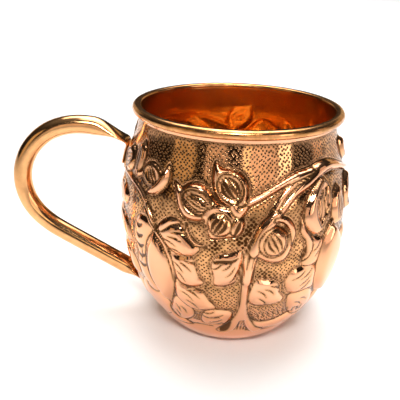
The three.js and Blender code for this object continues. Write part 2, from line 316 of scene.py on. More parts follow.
def left_pod_leaves(r):
    """Leaves right of the left pod."""
    r.leaf([(-37, 54), (-33, 57), (-28, 58.5), (-23, 57.5), (-20, 54.5), (-16, 52), (-14, 50),
        (-18, 46.5), (-24, 45.5), (-30, 47)], (-36, 53), (-16, 50), lift=0.8)
    r.leaf([(-30, 47), (-24, 46), (-18, 46.5), (-16, 42), (-14.5, 38), (-12, 35.5), (-15, 33.5),
        (-20, 32.5), (-27, 35)], (-29, 46), (-14, 36), lift=0.7)
    r.leaf([(-28, 35), (-24, 33), (-20, 32), (-13, 31), (-9.5, 27), (-6, 23.5), (-9, 22),
        (-16, 20.5), (-24, 21.5), (-29, 26)], (-28, 33), (-8, 24), lift=0.7, count=4)
    r.leaf([(-30, 25), (-25, 24), (-21, 21.5), (-19.5, 18), (-22, 14.5), (-28, 11.5), (-34, 12.5),
        (-36, 18)], (-31, 24), (-25, 13), lift=0.6, count=3)
    r.leaf([(-14, 19.5), (-9, 22.2), (-3, 23), (2.5, 22), (3, 18), (0, 14), (-8, 12.5), (-16, 13)],
        (2, 21), (-15, 15), lift=0.6, count=4, length=0.5)


def trunk_leaves(r):
    """Leaves left of the trunk and right of it."""
    r.leaf([(-8.5, 43), (-8, 46), (-5, 48.8), (0, 49.8), (4.6, 51.5), (6, 48), (5, 43), (4, 39),
        (2, 36.6), (-2, 35), (-7, 35.2), (-7.4, 39)], (5, 49), (-7, 37), lift=0.85, count=4)
    r.cut([(-8, 45.5), (-4, 46.6), (0.5, 47), (4, 48.5)], 1.0)
    r.leaf([(13, 38.5), (17, 38.6), (22, 37.5), (25.5, 35), (27, 31), (31, 27), (26, 25.3),
        (20, 25.2), (15, 25.5), (11, 27.5), (10.5, 32)], (12, 37), (27, 27), lift=0.85, count=4)


def right_pod_leaves(r):
    """Leaves left of the right pod, and the ribbon over them."""
    r.leaf([(38, 54.4), (43, 53.4), (49.5, 51), (48.5, 46), (47.5, 41.5), (42, 40), (37.4, 41),
        (36, 45.5), (37.4, 50)], (49, 52), (38, 43), lift=0.85, count=4)
    r.leaf([(31, 40.6), (36, 41.5), (42, 41.2), (48.5, 38.8), (50, 33), (51, 29), (44, 28.4),
        (36, 28.6), (31, 31), (28.4, 36)], (48, 40), (32, 32), lift=0.7, count=4, length=0.42)
    r.leaf([(33, 28), (40, 28.6), (48, 28), (55, 24.5), (58, 19), (52, 15.5), (43, 16), (36, 20)],
        (34, 26), (54, 18), lift=0.6, count=3)
    r.stem([(34, 62, 1.4), (34.6, 57, 2.6), (38, 53, 2.8), (39, 48.6, 2.4), (36.6, 44.6, 1.2)],
        1.3, shoulder=1.1)


def handle_leaves(r):
    """Leaves behind the left pod, and the ones beside the handle."""
    r.leaf([(-39, 55), (-45, 57), (-51, 56), (-54.5, 51.5), (-56, 46), (-54.5, 40), (-57, 34),
        (-54, 28), (-47, 24), (-40, 26), (-42, 40)], (-44, 54), (-52, 30), lift=0.6, count=1)
    for k in range(5):
        r.cut([(-46, 53.6 - 4.4 * k), (-49, 52.4 - 4.4 * k), (-51.5 - 0.6 * k, 53 - 4.4 * k)], 1.3)
    r.leaf([(-85, 64), (-77, 65), (-69, 64), (-63, 60), (-67, 55.5), (-76, 54), (-83, 57)],
        (-83, 62), (-66, 59), lift=0.7, count=3)
    r.leaf([(-88, 52), (-81, 53.6), (-72, 52.5), (-64, 48.5), (-60, 42), (-70, 40.5), (-80, 41.5),
        (-88, 46)], (-86, 51), (-64, 44), lift=0.75, count=4)
    r.leaf([(-86, 38), (-77, 39), (-68, 37), (-60, 32), (-60, 26), (-72, 25.4), (-83, 29)],
        (-84, 37), (-63, 29), lift=0.7, count=4)
    r.leaf([(-84, 23.6), (-74, 24), (-63, 22), (-55, 17.5), (-62, 13.6), (-75, 14), (-84, 18)],
        (-82, 22), (-60, 17), lift=0.55, count=3)
    r.leaf([(72, 48), (79, 49.5), (86, 47.5), (90, 41), (86, 36.5), (79, 37), (73, 41)], (74, 47),
        (86, 40), lift=0.7, count=3)
    r.leaf([(72, 34), (80, 34.6), (88, 32), (93, 26), (86, 21.5), (76, 22), (70, 27)], (73, 33),
        (88, 26), lift=0.65, count=3)


def trunk(r):
    """The trunk with its two roots and the strokes on them."""
    r.shape([(6.4, 30), (6.2, 36), (6.5, 42), (6, 46), (6.8, 50.6), (9.4, 56), (13, 61),
        (16.4, 63.4), (19.8, 62.6), (17.8, 58.6), (14.6, 53.6), (12.8, 48.6), (11.6, 43),
        (10.4, 37), (10, 31), (10.6, 25), (13, 18.5), (18, 13.5), (26, 9.4), (17, 8.6), (12, 12),
        (9, 17.5), (7, 12), (1, 8), (-7, 8.6), (-1, 12.5), (3.4, 17.5), (5.8, 23.5)], 1.5,
        shoulder=2.0, crown=0.3, line=0.2)
    r.cut([(9.6, 55), (8.6, 50), (7.8, 44)], 0.7)
    r.cut([(13.6, 56.4), (11.2, 50.6), (10, 44)], 0.6)
    for k in range(6):
        r.cut([(4 + 1.9 * k, 13.6 - abs(k - 2.5)), (3.4 + 2.1 * k, 11.6 - abs(k - 2.5)),
            (2.6 + 2.4 * k, 9.4)], 0.5)


def foot_lines(r):
    """Chased lines on the foot, and hatching on the band right of the roots."""
    r.cut([(-4, 9.4), (-0.4, 12.2), (2.6, 15.6)], 1.9)
    lines = (
        [(15, 16.4), (19, 12.8), (26, 10.8), (34, 10.4)],
        [(40, 11.6), (49, 12.4), (57, 15.4)],
        [(-9, 10.6), (-18, 10.8), (-27, 9.4)],
        [(-38, 13.6), (-45, 11.4), (-55, 12)],
        [(-20, 17.4), (-12, 17.8), (-4, 19)],
        [(62, 12), (70, 12.6), (78, 15.6)],
    )
    for line in lines:
        r.cut(line, 0.5)
    for k in range(11):
        r.cut([(13.6 + 3.3 * k, 21), (14.8 + 3.3 * k, 18.8), (16.4 + 3.3 * k, 17)], 0.45)


def pods(r):
    """The two smooth pods with the stems along their edges."""
    pod = dict(lift=1.5, shoulder=2.8, crown=0.7, line=0.3)
    r.shape([(-38.5, 53), (-41.5, 50), (-43.8, 46.5), (-45.4, 41), (-45.6, 36), (-44.3, 31),
        (-41, 26.3), (-35, 20.5), (-32.5, 22.5), (-29.5, 28), (-28, 34), (-27.8, 40),
        (-29.5, 45.5), (-33.5, 50.5)], **pod)
    r.shape([(56, 56.5), (53, 53.5), (50.5, 50), (48.5, 45), (47.5, 38.5), (49, 33), (53, 27.5),
        (60, 22.5), (66, 26), (70, 32), (71, 40), (69, 47), (63, 53)], **pod)
    r.stem([(-44, 61.5, 1.8), (-40, 57.5, 2.0), (-37.5, 53.4, 2.0), (-33, 50, 1.9),
        (-29.6, 45, 1.8), (-27.9, 39, 1.6), (-28, 33.5, 0.8)], 1.3, shoulder=0.8)
    r.stem([(-47, 60, 1.0), (-42.6, 57.2, 1.6), (-38.6, 53.6, 1.8)], 1.2, shoulder=0.8)
    r.shape([(-37, 54.4), (-34, 58), (-29, 60.4), (-23, 59.4), (-28, 57.6), (-31, 55.6),
        (-34, 53.8)], 1.1)
    r.stem([(49, 50, 1.0), (53, 55, 1.8), (57, 57.5, 1.6)], 1.3, shoulder=0.8)


def tendril(r):
    """The tendril under the three buds."""
    r.stem([(-21, 59.5, 0.8), (-19.5, 55.5, 1.5), (-16, 52.4, 1.7), (-11, 51.6, 0.8)], 0.9,
        shoulder=0.7)


def twig_buds(r):
    """Three buds on the twig, the lowest one double."""
    r.bud([(-9.6, 83), (-6, 81.2), (-2, 80.6), (3.4, 79.2), (6.8, 76), (7.4, 72.4), (6, 69.4),
        (2.8, 67.4), (0, 66.6), (-5, 68.6), (-9, 72.6), (-10.6, 78)], (-1.5, 74), 4.4, 5.4, -52, 4,
        lift=1.7, sunk=0.9, width=1.1)
    r.bud([(-29.6, 74), (-25, 72.4), (-21, 74.4), (-15, 74.8), (-10.5, 72.2), (-7.5, 69.4),
        (-3.6, 66.6), (-7, 64.2), (-10, 62.4), (-16, 60.8), (-21.6, 61.4), (-25.4, 64.6),
        (-27.6, 69)], (-15.8, 68), 3.9, 5.8, -24, 4, lift=1.7, sunk=0.4)
    r.shape([(-12.6, 65), (-8, 67.4), (-2, 67.8), (3, 66.8), (5.6, 63), (5.2, 59), (3, 56.8),
        (-3, 55.6), (-9, 55), (-11, 58.4), (-12.8, 62)], 1.0, shoulder=1.6)
    r.oval((-5.4, 61), 5.2, 4.4, 2.0, tilt=30, shoulder=1.8, crown=0.5)
    r.strokes((-5.4, 61), 3.8, 4.2, 62, 3, width=1.2)
    r.oval((2.8, 60.6), 3.0, 3.9, 1.7, tilt=-14, shoulder=1.4, crown=0.3)
    r.strokes((2.8, 60.6), 2.2, 3.6, 70, 1, width=1.3)
    r.stem([(0.8, 67.4, 3.4), (3.4, 65.6, 3.4), (6, 67.4, 2.2)], 1.6, shoulder=1.4)


def round_bud(r):
    """The round bud right of the trunk, in its collar."""
    r.shape([(11.8, 50.5), (14, 47.5), (20, 45.4), (26, 46), (29, 50), (29.6, 54), (26, 58.6),
        (20, 60.6), (15.5, 60.5)], 0.9)
    r.stem([(10.6, 51, 4.0), (12.4, 55.6, 4.6), (15.8, 60.4, 5.4), (20, 64, 4.4)], 1.8,
        shoulder=2.0)
    r.oval((19.2, 54.4), 7.0, 6.0, 1.8, shoulder=2.2, crown=0.8)
    r.oval((19.6, 54.2), 5.2, 4.9, 1.9, shoulder=0.9, crown=0.5)
    r.strokes((19.4, 54.2), 4.0, 4.8, -62, 3, width=0.8)
    r.stem([(19.5, 63, 1.6), (25, 62, 2.8), (28.8, 57.6, 2.8), (28.8, 53, 1.2)], 1.4, shoulder=1.2)


def upright_bud(r):
    """The upright bud under the limb, and its neighbour."""
    r.shape([(47, 75.2), (43, 73.4), (39, 70.6), (35.8, 66.4), (34.6, 61.6), (36.6, 57.6),
        (40, 54.8), (43.6, 53.8), (48, 56.4), (52, 60.6), (54.4, 65.6), (54, 70.6), (51, 74)], 1.6,
        shoulder=1.9, line=0.3)
    r.shape([(47.8, 73.4), (43.6, 70.6), (41.2, 66.4), (41.2, 62), (43, 58.6), (45, 57),
        (49, 60.4), (52, 64.8), (52, 69.6), (50.4, 72.6)], 0.7, shoulder=1.1, crown=0)
    r.stem([(45, 60, 0.5), (44.4, 65, 1.7), (46.4, 70.6, 0.5)], 1.5, shoulder=1.1, line=0.16)
    r.stem([(48.4, 61.6, 0.5), (48.4, 66, 1.7), (49.8, 71, 0.5)], 1.5, shoulder=1.1, line=0.16)
    r.shape([(60.6, 71), (56.4, 66.6), (54.6, 61), (56.4, 56), (60.4, 54), (65, 56.4), (67, 61),
        (65, 67)], 1.5, shoulder=1.9)
    r.strokes((60.8, 62), 3.6, 6.4, 84, 3, width=0.8)


def outlying_buds(r):
    """The bud left of the three, its petal, and those near the handle."""
    r.oval((-44.6, 73.2), 7.6, 4.6, 1.2, tilt=-8, shoulder=1.4)
    r.oval((-44.2, 73), 6.0, 3.5, 0.3, tilt=-8, shoulder=0.8, crown=0.3)
    r.strokes((-44.2, 73), 3.3, 4.6, -50, 3, width=0.8)
    r.shape([(-34.4, 79), (-32.6, 75.4), (-33.2, 72), (-36.6, 68.4), (-41, 66.4), (-47.4, 66),
        (-43, 69), (-39.6, 71.8), (-37, 75.4)], 1.7, shoulder=1.4, crown=0.5)
    r.stem([(-58, 69.4, 1.2), (-54.5, 71.6, 2.4), (-51, 73, 1.6)], 1.4)
    r.shape([(-57, 70), (-61, 74), (-61.6, 79.4), (-57, 84), (-53.2, 80.4), (-53.4, 75)], 1.0,
        shoulder=1.5)
    r.strokes((-57.2, 77.4), 2.4, 5.4, 88, 2, width=0.9)
    r.bud([(-79, 74), (-76, 78.4), (-70, 79.8), (-64.4, 77.6), (-62.4, 74), (-64.6, 70.6),
        (-70, 69), (-76, 70.4)], (-70, 74.4), 3.2, 4.4, 20, 3)
    r.bud([(77, 84.8), (84, 84.8), (90, 82), (93, 77.4), (89, 74.2), (82, 75.4), (77, 79)],
        (85, 79.8), 3.0, 4.2, -30, 3)
    r.bud([(80, 71.8), (75, 68.6), (72.6, 63), (75.6, 58), (80.4, 54.6), (85.4, 58.8), (88.4, 64),
        (86.4, 69.2)], (80.6, 63.4), 3.6, 5.4, 82, 3, sunk=0.8)


def draw_plant(relief):
    """The whole pattern, from the back layer to the front."""
    layers = (
        limb_and_twig, foot_leaves, left_pod_leaves, trunk_leaves, right_pod_leaves, handle_leaves,
        trunk, foot_lines, pods, tendril, twig_buds, round_bud, upright_bud, outlying_buds,
    )
    for draw in layers:
        draw(relief)


def worked_wall():
    """Heights, line distances and the punched ground's mask over a half turn of the wall."""
    relief = Relief()
    draw_plant(relief)
    relief.carve_lines()
    open_ground = np.minimum(relief.ground, FAR)
    open_ground = np.minimum(open_ground, (relief.up - PUNCHED_FROM) * 1.2)
    open_ground = np.minimum(open_ground, PUNCHED_TO - relief.up)
    grid = (RELIEF_ROWS, HALF_TURN_COLUMNS)
    return tuple(a.reshape(grid) for a in (relief.height, relief.chase, open_ground))


# ---- Meshes ----
GROUND_DEPTH = 0.85  # of the punched ground under the wall's outline, mm
WORK_STRENGTH = 1.16  # how boldly the whole relief is driven out
HAMMERED_FINE, HAMMERED_BROAD = 0.06, 0.09  # unevenness left by the hammer, mm
PUNCH_DEPTH = 0.02  # of the unevenness left between punch marks, mm
NOOK_REACH = 2.8  # how far the patina and painted shade reach from the foot of the raised work, mm
INNER_EVERY = 2  # an inner column for every two outer ones
INNER_ROWS = 88
SECOND_HALF_LIFT = 4.5  # mm, at its middle
LIP_INSIDE = 38.46  # radius of the wall where it runs straight up inside the roll
HANDLE_TURN = -90  # degrees round from the front
MM_PER_DEGREE_AT_JOINTS = 0.76
# the joints' heights on the wall, and how far round each the wall is left smooth
JOINT_PLACES = ((71.2, 8.0), (11.0, 8.5))
JOINT_SINK = 0.35  # of the wall under them, mm
# rings of the plain parts, as radius and height
NECK_RINGS = ((39.78, 90.2), (39.5, 91.1), (39.28, 91.9), (39.15, 92.4))
FOOT_RINGS = ((25.2, 0.95), (24.55, 0.42), (23.9, 0.12), (23.1, 0.0), (21.9, 0.0), (10, 0.0))
LIP_RINGS = ((LIP_INSIDE, 92.4), (LIP_INSIDE, 91.9), (LIP_INSIDE, 91.4), (LIP_INSIDE, 90.9))
FLOOR_RINGS = ((24.6, 1.5), (23.4, 1.05), (22.0, SHEET), (10.0, SHEET))
# what the finish is told about plain metal outside and inside
PLAIN = {"chase": FAR, "ground": -1.0, "lift": 0.8, "nook": 0.0}
INSIDE = {"chase": FAR, "ground": -1.0, "lift": -2.0, "nook": 0.0}


def soft_noise(columns, rows, across, up, seed):
    """Smooth random heights between about -1 and 1 that join up round the mug."""
    rng = np.random.default_rng(seed)
    turn = np.arange(columns) / columns * 2 * math.pi
    rise = np.linspace(0, 1, rows)[:, None]
    total = np.zeros((rows, columns))
    for _ in range(14):
        waves, climb = rng.integers(2, across), rng.uniform(-up, up)
        strength = rng.uniform(0.4, 1)
        total += strength * np.sin(waves * turn[None, :] + climb * rise + rng.uniform(0, 6.3))
    return total / 3.2


def beside_joints(turn, up):
    """1 away from the two brazed joints, where the wall is left smooth, and 0 under them."""
    calm = np.ones(turn.shape)
    sideways = (turn - HANDLE_TURN) * MM_PER_DEGREE_AT_JOINTS
    for height, reach in JOINT_PLACES:
        away = np.hypot(sideways / 0.85, up - height)
        calm = np.minimum(calm, ease((away - reach) / 3.5))
    return calm


def new_object(name, verts, faces):
    """A smooth-shaded object from points in metres and faces."""
    mesh = bpy.data.meshes.new(name)
    mesh.from_pydata([tuple(v) for v in verts], [], faces)
    mesh.update()
    mesh.polygons.foreach_set("use_smooth", [True] * len(mesh.polygons))
    made = bpy.data.objects.new(name, mesh)
    bpy.context.scene.collection.objects.link(made)
    return made


def point_values(mesh, name, values):
    """Gives every point of a mesh a number under a name."""
    made = mesh.attributes.new(name, "FLOAT", "POINT")
    made.data.foreach_set("value", np.asarray(values, np.float32))


def ring_faces(lower, upper, columns, chequer=False):
    """Triangles between two rings of as many vertices, lower and upper being their first ones."""
    faces = []
    for c in range(columns):
        n = (c + 1) % columns
        a, b, d, e = lower + c, lower + n, upper + n, upper + c
        if chequer and (c + lower // columns) % 2 == 0:
            faces += [(a, b, e), (b, d, e)]
        else:
            faces += [(a, b, d), (a, d, e)]
    return faces


def wall_places(turn, travel, lift):
    """Places on the wall in metres. Turn in degrees and travel are grids; lift is outwards."""
    radius, up, normal = wall_at(travel)
    out = radius + normal[..., 0] * lift
    up = up + normal[..., 1] * lift
    angle = np.radians(turn)
    return np.stack((out * np.sin(angle), -out * np.cos(angle), up), -1) * MM


def softened(heights):
    """The same heights with their corners rounded over about a millimetre."""
    soft = (np.roll(heights, 1, 1) + 2 * heights + np.roll(heights, -1, 1)) / 4
    soft[1:-1] = (soft[:-2] + 2 * soft[1:-1] + soft[2:]) / 4
    return soft


def drawn_higher(field, turn, travel, up):
    """The pattern's second half is drawn a little higher up the wall, as handwork is."""
    raised = field.copy()
    for c in np.flatnonzero(turn[0] > 90):
        lift = SECOND_HALF_LIFT * math.sin(math.radians(turn[0, c] - 90)) ** 2
        lift = lift * ease((up[:, c] - 12) / 35) * ease((91 - up[:, c]) / 10)
        raised[:, c] = np.interp(travel[:, c] - lift, travel[:, c], field[:, c])
    return raised


class Skin:
    """Points, triangles and finish marks of a closed skin while it is put together."""

    def __init__(self):
        self.places, self.faces, self.count = [], [], 0
        self.marks = {name: [] for name in PLAIN}

    def add(self, places, marks):
        """Adds points in metres with their marks, and returns the first one's number."""
        self.places.append(places)
        for name, values in self.marks.items():
            values.append(np.broadcast_to(marks[name], len(places)))
        self.count += len(places)
        return self.count - len(places)

    def ring(self, radius, height, size, marks):
        """Adds a level ring of points at a radius and height in millimetres."""
        angle = np.radians(np.arange(size) * (360 / size) - 90)
        spots = (radius * np.sin(angle), -radius * np.cos(angle), np.full(size, height))
        return self.add(np.stack(spots, -1) * MM, marks)

    def rings_on(self, last, rings, size, marks, below=False):
        """Carries the skin on over further rings, and returns the last one's first point."""
        for radius, height in rings:
            ring = self.ring(radius, height, size, marks)
            self.faces += ring_faces(ring, last, size) if below else ring_faces(last, ring, size)
            last = ring
        return last

    def close(self, last, size, height, marks, below=False):
        """Fills the last ring with triangles to a point on the axis."""
        middle = self.add(np.array([[0, 0, height * MM]]), marks)
        for c in range(size):
            a, b = last + c, last + (c + 1) % size
            self.faces.append((middle, b, a) if below else (middle, a, b))


def outer_wall():
    """The outside on a grid: turn, travel, lift, lift without punch marks, and finish marks."""
    height, chase, ground = (np.tile(a, (1, 2)) for a in worked_wall())
    rows, columns = height.shape
    turn = np.arange(columns) * (360 / columns) - 90
    turn, travel = np.meshgrid(turn, np.linspace(RELIEF_FROM, RELIEF_TO, rows))
    up = wall_at(travel)[1]
    height, chase, ground = (drawn_higher(a, turn, travel, up) for a in (height, chase, ground))
    calm = beside_joints((turn + 180) % 360 - 180, up)
    fade = ease((up - 4) / 8) * ease((91.0 - up) / 2.0)
    in_ground = ease((ground - 0.25) / 0.5) * calm
    pits = in_ground * PUNCH_DEPTH * np.random.default_rng(7).uniform(-1, 1, height.shape)
    hammered = HAMMERED_FINE * soft_noise(columns, rows, 26, 60, 3)
    hammered = hammered + HAMMERED_BROAD * soft_noise(columns, rows, 9, 18, 5)
    lift = (height - GROUND_DEPTH) * WORK_STRENGTH * calm * fade + hammered * fade - pits
    lift = softened(lift - JOINT_SINK * (1 - calm) * fade)
    marks = {
        "chase": chase,
        "ground": in_ground * 2 - 1,
        "lift": height * calm,
        # painted shade with patina: darkest at the foot of the raised work, fading over NOOK_REACH
        "nook": ease((NOOK_REACH - ground) / NOOK_REACH) * in_ground,
    }
    return turn, travel, lift, lift + pits, marks


def inner_wall(turn, travel, unpunched, chase):
    """The reverse of the work, on a coarser grid that runs down from the lip."""
    down = np.linspace(RELIEF_TO, RELIEF_FROM + 1.8, INNER_ROWS)

    def on_inside(outer):
        """An outer grid's values at the inner grid's places."""
        columns = range(0, outer.shape[1], INNER_EVERY)
        return np.array([np.interp(down, travel[:, 0], outer[:, c]) for c in columns]).T

    lift = on_inside(softened(unpunched))
    inner_turn, inner_travel = np.meshgrid(turn[0, ::INNER_EVERY], down)
    radius, up, _ = wall_at(inner_travel)
    upright = ease((up - 76) / 12)  # straight up to meet the roll
    lift += (LIP_INSIDE + SHEET - radius - lift) * upright
    return wall_places(inner_turn, inner_travel, lift - SHEET), on_inside(chase)


def number_corners(mesh, rows, columns):
    """Gives every corner its column and row on the wall, for the punch marks' pattern."""
    grid = mesh.attributes.new("punch_grid", "FLOAT_VECTOR", "CORNER")
    corner = np.zeros(len(mesh.loops), np.int32)
    mesh.loops.foreach_get("vertex_index", corner)
    on_wall = corner < rows * columns
    column = np.where(on_wall, corner % columns, 0).reshape(-1, 3)
    row = np.where(on_wall, corner // columns, 0).reshape(-1, 3)
    wraps = (column.max(1) - column.min(1)) > columns / 2
    column[wraps] += np.where(column[wraps] < columns / 2, columns, 0)
    spots = np.stack((column.ravel(), row.ravel(), np.zeros(column.size)), -1)
    grid.data.foreach_set("vector", spots.astype(np.float32).ravel())


def mug_body():
    """The whole body as one closed skin: worked outside, plain base, the reverse inside."""
    turn, travel, lift, unpunched, marks = outer_wall()
    rows, columns = lift.shape
    inner_columns = columns // INNER_EVERY
    skin = Skin()
    places = wall_places(turn, travel, lift).reshape(-1, 3)
    skin.add(places, {name: values.ravel() for name, values in marks.items()})
    for k in range(rows - 1):
        skin.faces += ring_faces(k * columns, (k + 1) * columns, columns, chequer=True)
    neck = skin.rings_on((rows - 1) * columns, NECK_RINGS, columns, PLAIN)
    base = skin.rings_on(0, FOOT_RINGS, columns, PLAIN, below=True)
    skin.close(base, columns, 0, PLAIN, below=True)

    lip = skin.ring(*LIP_RINGS[0], inner_columns, INSIDE)
    last = skin.rings_on(lip, LIP_RINGS[1:], inner_columns, INSIDE)
    places, chase = inner_wall(turn, travel, unpunched, marks["chase"])
    first = skin.add(places.reshape(-1, 3), {**INSIDE, "chase": chase.ravel()})
    for k in range(INNER_ROWS - 1):
        ring = first + k * inner_columns
        skin.faces += ring_faces(ring, ring + inner_columns, inner_columns)
    skin.faces += ring_faces(last, first, inner_columns)
    for c in range(inner_columns):
        a, b = lip + c, lip + (c + 1) % inner_columns
        o = [neck + (c * INNER_EVERY + k) % columns for k in range(INNER_EVERY + 1)]
        skin.faces += [(o[0], o[1], a), (o[1], b, a), (o[1], o[2], b)]
    lowest = first + (INNER_ROWS - 1) * inner_columns
    floor = skin.rings_on(lowest, FLOOR_RINGS, inner_columns, INSIDE)
    skin.close(floor, inner_columns, SHEET, INSIDE)

    body = new_object("worked_body", np.vstack(skin.places), skin.faces)
    for name, values in skin.marks.items():
        point_values(body.data, name, np.concatenate(values))
    number_corners(body.data, rows, columns)
    return body


# ---- Node graphs ----
class Socket:
    """An output socket that the ordinary operators work on."""

    def __init__(self, graph, link):
        self.graph, self.link = graph, link

    def maths(self, operation, other):
        """A Math node on this value and another."""
        feeds = {0: self, 1: other}
        return self.graph.node("ShaderNodeMath", {"operation": operation}, feeds)["Value"]

    def __add__(self, other):
        return self.maths("ADD", other)

    def __radd__(self, other):
        return self.maths("ADD", other)

    def __sub__(self, other):
        return self.maths("SUBTRACT", other)

    def __rsub__(self, other):
        feeds = {0: other, 1: self}
        return self.graph.node("ShaderNodeMath", {"operation": "SUBTRACT"}, feeds)["Value"]

    def __mul__(self, other):
        return self.maths("MULTIPLY", other)

    def __rmul__(self, other):
        return self.maths("MULTIPLY", other)

    def at_least(self, other):
        """The greater of this value and another."""
        return self.maths("MAXIMUM", other)

    def ease(self, low, high):
        """0 at low, 1 at high and a smooth step between. Low may be above high."""
        settings = {"interpolation_type": "SMOOTHSTEP"}
        if low < high:
            ends = {"From Min": low, "From Max": high, "To Min": 0.0, "To Max": 1.0}
        else:
            ends = {"From Min": high, "From Max": low, "To Min": 1.0, "To Max": 0.0}
        return self.graph.node("ShaderNodeMapRange", settings, {"Value": self, **ends})["Result"]


class Made:
    """A node just made, whose outputs are read by name."""

    def __init__(self, graph, node):
        self.graph, self.node = graph, node

    def __getitem__(self, name):
        found = [s for s in self.node.outputs if s.name == name and s.enabled]
        return Socket(self.graph, found[0] if found else self.node.outputs[name])


class Graph:
    """A node tree that is filled from here."""

    def __init__(self, tree):
        self.tree = tree
        tree.nodes.clear()

    def node(self, kind, settings=None, feeds=None):
        """Makes a node: its settings first, then a value or a link for each socket named."""
        made = self.tree.nodes.new(kind)
        for name, value in (settings or {}).items():
            if name == "stops":
                self.set_stops(made.color_ramp, value)
            else:
                setattr(made, name, value)
        for name, value in (feeds or {}).items():
            if isinstance(name, int):
                socket = made.inputs[name]
            else:
                socket = next(s for s in made.inputs if s.name == name and s.enabled)
            if isinstance(value, Socket):
                self.tree.links.new(value.link, socket)
            else:
                socket.default_value = value
        return Made(self, made)

    @staticmethod
    def set_stops(ramp, stops):
        """Gives a colour ramp its places and colours."""
        for k, (place, colour) in enumerate(stops):
            stop = ramp.elements[k] if k < len(ramp.elements) else ramp.elements.new(place)
            stop.position = place
            stop.color = (*colour, 1)


class Finish(Graph):
    """A material under construction."""

    def __init__(self, name):
        self.material = bpy.data.materials.new(name)
        self.material.use_nodes = True
        super().__init__(self.material.node_tree)

    def value(self, name):
        """A number that the piece's points carry."""
        return self.node("ShaderNodeAttribute", {"attribute_name": name})["Fac"]

    def place(self):
        """Where a point is on the mug, in metres."""
        return self.node("ShaderNodeTexCoord")["Object"]

    def noise(self, where, scale, detail=2.0):
        """Soft random values, so many to the metre."""
        feeds = {"Vector": where, "Scale": scale, "Detail": detail}
        return self.node("ShaderNodeTexNoise", {}, feeds)["Fac"]

    def blend(self, share, first, second):
        """A colour between two, each a colour or a socket."""
        first, second = ((*c, 1) if isinstance(c, tuple) else c for c in (first, second))
        feeds = {"Factor": share, "A": first, "B": second}
        return self.node("ShaderNodeMix", {"data_type": "RGBA"}, feeds)["Result"]

    def bump(self, height, distance, normal=None):
        """Tilts the surface by a height of so many metres."""
        feeds = {"Height": height, "Distance": distance, "Strength": 1.0}
        if normal is not None:
            feeds["Normal"] = normal
        return self.node("ShaderNodeBump", {}, feeds)["Normal"]

    def metal(self, colour, roughness, normal=None):
        """Ends the material as bare metal and returns it."""
        feeds = {"Base Color": colour, "Roughness": roughness, "Metallic": 1.0}
        if normal is not None:
            feeds["Normal"] = normal
        shader = self.node("ShaderNodeBsdfPrincipled", {}, feeds)
        self.node("ShaderNodeOutputMaterial", {}, {"Surface": shader["BSDF"]})
        return self.material


COPPER = (0.85, 0.42, 0.225)
GOLDEN_COPPER = (0.90, 0.52, 0.22)
ROSE_COPPER = (0.89, 0.48, 0.30)
HANDLE_COPPER = (0.82, 0.42, 0.18)
RIM_COPPER = (0.76, 0.35, 0.14)
INNER_COPPER = (0.76, 0.39, 0.12)
TARNISH = (0.62, 0.31, 0.10)
BROWNED_COPPER = (0.42, 0.19, 0.05)
# dark of the pits, chased lines and smudges, and of the painted shade round the foot of the raised
# work
PATINA_AND_SHADE = (0.060, 0.022, 0.006)
BRAZE = (0.72, 0.42, 0.16)
BURNT_BRAZE = (0.30, 0.14, 0.06)
STEEL = (0.45, 0.46, 0.47, 1)
PUNCH_MARKS = 0.49  # for each column of the wall's grid
PUNCH_SLANT = 0.7  # radians that their rows run askew


def chased_copper():
    """Polished high places, a darker punched ground, patina in the pits and chased lines, and painted
    shade with patina round the foot of the raised work.
    """
    f = Finish("chased_copper")
    chase, ground, lift, nook = (f.value(name) for name in ("chase", "ground", "lift", "nook"))
    place = f.place()
    up = f.node("ShaderNodeSeparateXYZ", {}, {"Vector": place})["Z"]
    inside = lift.ease(-0.9, -1.7)
    in_ground = ground.ease(-0.4, 0.5)
    belly = up.ease(0.018, 0.034) * up.ease(0.080, 0.064)
    grid = f.node("ShaderNodeAttribute", {"attribute_name": "punch_grid"})["Vector"]
    turned = {"Vector": grid, "Rotation": (0, 0, PUNCH_SLANT)}
    from_pit = f.node(
        "ShaderNodeTexVoronoi",
        {"voronoi_dimensions": "2D", "feature": "F1"},
        {
            "Vector": f.node("ShaderNodeMapping", {}, turned)["Vector"],
            "Scale": PUNCH_MARKS,
            "Randomness": 0.5,
        },
    )["Distance"]
    pit = from_pit.ease(0.40, 0.16) * in_ground
    line = chase.ease(0.28, -0.12) * (1 - inside)
    worn = f.noise(place, 140.0, 3.0)
    # patina lies in the pits, the lines and the nooks, and in smudges on the upper ground; the
    # darkening in the nooks is painted shade as well as patina
    smudge = f.noise(place, 105.0, 4.0).ease(0.44, 0.64) * in_ground
    smudge = smudge * (up.ease(0.030, 0.055) * 0.4 + belly * 0.65)
    smudge = smudge * (0.35 + from_pit.ease(0.62, 0.34) * 0.9)
    dark = (pit * (0.80 + worn * 0.35)).at_least(line * 0.92).at_least(smudge)
    # painted shade, with patina: the ground darkens towards the foot of the raised work
    dark = dark.at_least(nook * nook * (0.7 + worn) * 0.9)
    tarnish = in_ground * (0.15 + worn * 0.7 + belly * 0.15)
    tarnish = (chase.ease(0.8, 0.0) * 0.5).at_least(tarnish)
    metal = f.blend(f.noise(place, 38.0).ease(0.35, 0.7) * 0.5, COPPER, ROSE_COPPER)
    metal = f.blend(tarnish, metal, TARNISH)
    metal = f.blend(inside, metal, INNER_COPPER)
    colour = f.blend(dark, metal, PATINA_AND_SHADE)
    roughness = 0.07 + pit * 0.25 + line * 0.2 + inside * 0.10 + f.noise(place, 420.0) * 0.05
    # the grooves stand out as ridges on the inside
    normal = f.bump(chase.ease(-0.25, 0.5) * (1 - 2 * inside), 0.00014)
    normal = f.bump(from_pit.ease(0.10, 0.38) * in_ground, 0.00008, normal)
    normal = f.bump(f.noise(place, 620.0), 0.00003, normal)
    return f.metal(colour, roughness, normal)


